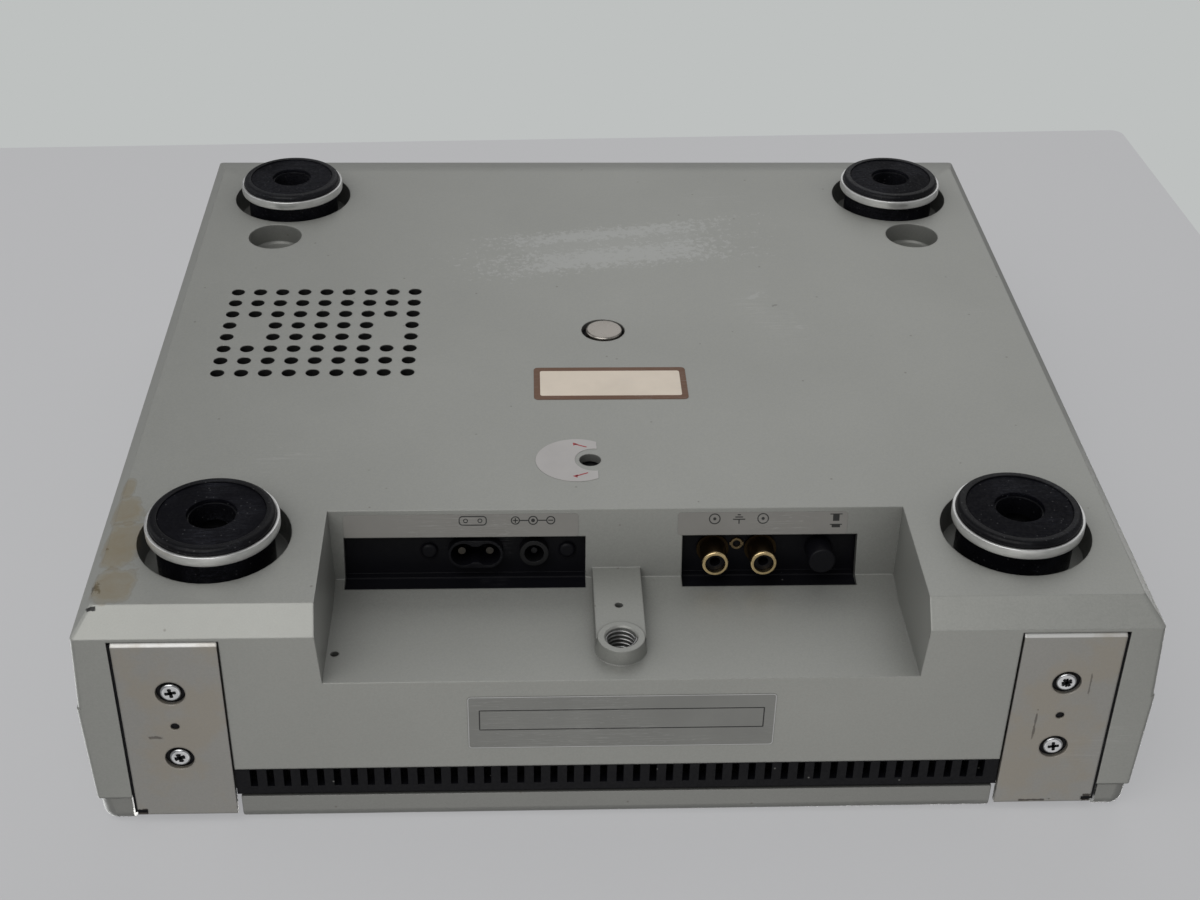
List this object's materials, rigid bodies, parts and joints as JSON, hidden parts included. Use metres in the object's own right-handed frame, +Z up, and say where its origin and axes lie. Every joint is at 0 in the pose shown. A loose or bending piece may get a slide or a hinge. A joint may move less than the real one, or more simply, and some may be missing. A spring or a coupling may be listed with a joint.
{
  "type": "turntable",
  "caption": "Record-sleeve sized clamshell turntable: silver die-cast base and hinged lid, linear tracking arm on rails in the lid, direct-drive platter, disc clamp, rear socket recess.",
  "frame": {"origin": "centre of the footprint, on the plane that the feet stand on", "axes": "+Z up, -Y towards the front (open button), +Y towards the hinges and sockets, +X to the user's right"},
  "size_m": [0.315, 0.315, 0.087],
  "materials": {
    "silver_casting": "satin, fine flake",
    "silver_plate": "satin",
    "black_moulding": "fine matte",
    "dark_insulator": "matte",
    "gold": "polished",
    "nickel": "polished",
    "steel": "satin",
    "foot_rubber": "matte",
    "mat_rubber": "matte, ribbed",
    "felt": "felt",
    "platter_metal": "turned",
    "dark_paint": "matte",
    "deck_paint": "satin paint",
    "board": "solder mask",
    "smoked": "clear smoked",
    "grey_key": "satin",
    "cord": "braided",
    "tube": "satin"
  },
  "bodies": {
    "base": {"base_casting": "silver_casting", "hinge_cover_left": "silver_plate", "hinge_cover_right": "silver_plate", "case_screws": "nickel", "rear_vent_grille": "black_moulding", "power_panel": "black_moulding", "signal_panel": "black_moulding", "ac_inlet": "black_moulding", "ac_inlet_pins": "nickel", "dc_jack": "nickel", "phono_jacks": "gold", "phono_insulators": "dark_insulator", "ground_lug": "nickel", "foot_front_left": "foot_rubber", "foot_front_right": "foot_rubber", "foot_rear_left": "foot_rubber", "foot_rear_right": "foot_rubber", "foot_rings": "nickel", "foot_felt_pads": "felt", "bearing_cap": "nickel", "motor_housing": "dark_paint", "transformer": "dark_paint", "circuit_boards": "board", "base_deck": "deck_paint", "latch_bracket": "steel", "hinge_brackets": "steel"},
    "lid": {"lid_shell": "silver_casting", "lid_window": "smoked", "lid_inner_cover": "black_moulding", "mechanism_cover": "black_moulding", "lid_striker": "steel", "hinge_arms": "dark_paint", "guide_rails": "steel", "carriage_brackets": "steel", "carriage_motor": "steel", "drive_cord": "cord", "key_board": "board"},
    "turning_platter": {"rotor_spindle": "steel", "platter": "platter_metal", "platter_mat": "mat_rubber"},
    "centre_adaptor": {"centre_adaptor": "tube"},
    "speed_selector": {"speed_selector": "grey_key"},
    "open_button": {"open_button": "black_moulding"},
    "latch_hook": {"latch_hook": "steel"},
    "cartridge_switch": {"cartridge_switch_button": "black_moulding"},
    "voltage_selector": {"voltage_selector": "dark_insulator"},
    "carriage": {"arm_carriage": "tube"},
    "gimbal": {"arm_gimbal": "steel"},
    "tonearm": {"tonearm": "tube", "cartridge": "black_moulding", "counterweight": "steel"},
    "drive_drum": {"drive_drum": "black_moulding"},
    "idler_pulley": {"idler_pulley": "black_moulding"},
    "disc_clamp": {"disc_clamp": "black_moulding"},
    "power_key": {"power_key": "grey_key"},
    "search_left_key": {"search_left_key": "grey_key"},
    "search_right_key": {"search_right_key": "grey_key"},
    "cue_key": {"cue_key": "grey_key"},
    "stop_key": {"stop_key": "grey_key"},
    "start_key": {"start_key": "grey_key"}
  },
  "joints": [
    {"name": "lid_hinge", "type": "hinge", "parent": "base", "child": "lid", "pos_m": [0, 0.151, 0.08], "axis": [-1, 0, 0], "range_deg": [0, 60]},
    {"name": "platter_spin", "type": "hinge", "parent": "base", "child": "turning_platter", "pos_m": [0, -0.003, 0.05], "axis": [0, 0, -1], "continuous": true},
    {"name": "adaptor_rise", "type": "slide", "parent": "turning_platter", "child": "centre_adaptor", "axis": [0, 0, 1], "range_m": [0, 0.003]},
    {"name": "speed_select", "type": "slide", "parent": "base", "child": "speed_selector", "axis": [1, 0, 0], "range_m": [0, 0.004]},
    {"name": "open_press", "type": "slide", "parent": "base", "child": "open_button", "axis": [0, 1, 0], "range_m": [0, 0.0025], "stiffness_N_per_m": 400, "springref_m": -0.0005},
    {"name": "latch_turn", "type": "hinge", "parent": "base", "child": "latch_hook", "pos_m": [0, -0.1445, 0.019], "axis": [-1, 0, 0], "range_deg": [0, 12.5]},
    {"name": "cartridge_switch_press", "type": "slide", "parent": "base", "child": "cartridge_switch", "axis": [0, -0.9925, 0.1219], "range_m": [0, 0.003], "stiffness_N_per_m": 400, "springref_m": -0.0005},
    {"name": "voltage_turn", "type": "hinge", "parent": "base", "child": "voltage_selector", "pos_m": [-0.0073, 0.0785, 0.014], "axis": [0, 0, 1], "range_deg": [0, 90]},
    {"name": "carriage_slide", "type": "slide", "parent": "lid", "child": "carriage", "axis": [-1, 0, 0], "range_m": [0, 0.092]},
    {"name": "drum_turn", "type": "hinge", "parent": "lid", "child": "drive_drum", "pos_m": [0.012, 0.124, 0.0747], "axis": [0, 0, -1], "range_deg": [0, 1060]},
    {"name": "idler_turn", "type": "hinge", "parent": "lid", "child": "idler_pulley", "pos_m": [0.138, 0.124, 0.0747], "axis": [0, 0, -1], "range_deg": [0, 1060]},
    {"name": "arm_follow", "type": "hinge", "parent": "carriage", "child": "gimbal", "pos_m": [0.147, 0.102, 0.075], "axis": [0, 0, -1], "range_deg": [-0.4, 2]},
    {"name": "arm_lower", "type": "hinge", "parent": "gimbal", "child": "tonearm", "pos_m": [0.147, 0.102, 0.071], "axis": [1, 0, 0], "range_deg": [0, 2.2]},
    {"name": "clamp_spin", "type": "hinge", "parent": "lid", "child": "disc_clamp", "pos_m": [0, -0.003, 0.066], "axis": [0, 0, -1], "continuous": true},
    {"name": "power_press", "type": "slide", "parent": "lid", "child": "power_key", "axis": [0, 0, -1], "range_m": [0, 0.0015], "stiffness_N_per_m": 300, "springref_m": -0.0005},
    {"name": "search_left_press", "type": "slide", "parent": "lid", "child": "search_left_key", "axis": [0, 0, -1], "range_m": [0, 0.0015], "stiffness_N_per_m": 300, "springref_m": -0.0005},
    {"name": "search_right_press", "type": "slide", "parent": "lid", "child": "search_right_key", "axis": [0, 0, -1], "range_m": [0, 0.0015], "stiffness_N_per_m": 300, "springref_m": -0.0005},
    {"name": "cue_press", "type": "slide", "parent": "lid", "child": "cue_key", "axis": [0, 0, -1], "range_m": [0, 0.0015], "stiffness_N_per_m": 300, "springref_m": -0.0005},
    {"name": "stop_press", "type": "slide", "parent": "lid", "child": "stop_key", "axis": [0, 0, -1], "range_m": [0, 0.0015], "stiffness_N_per_m": 300, "springref_m": -0.0005},
    {"name": "start_press", "type": "slide", "parent": "lid", "child": "start_key", "axis": [0, 0, -1], "range_m": [0, 0.0015], "stiffness_N_per_m": 300, "springref_m": -0.0005}
  ],
  "couplings": [
    {"joint": "latch_turn", "follows": "open_press", "rad_per_m": 83.333},
    {"joint": "drum_turn", "follows": "carriage_slide", "rad_per_m": 200},
    {"joint": "idler_turn", "follows": "carriage_slide", "rad_per_m": 200}
  ]
}
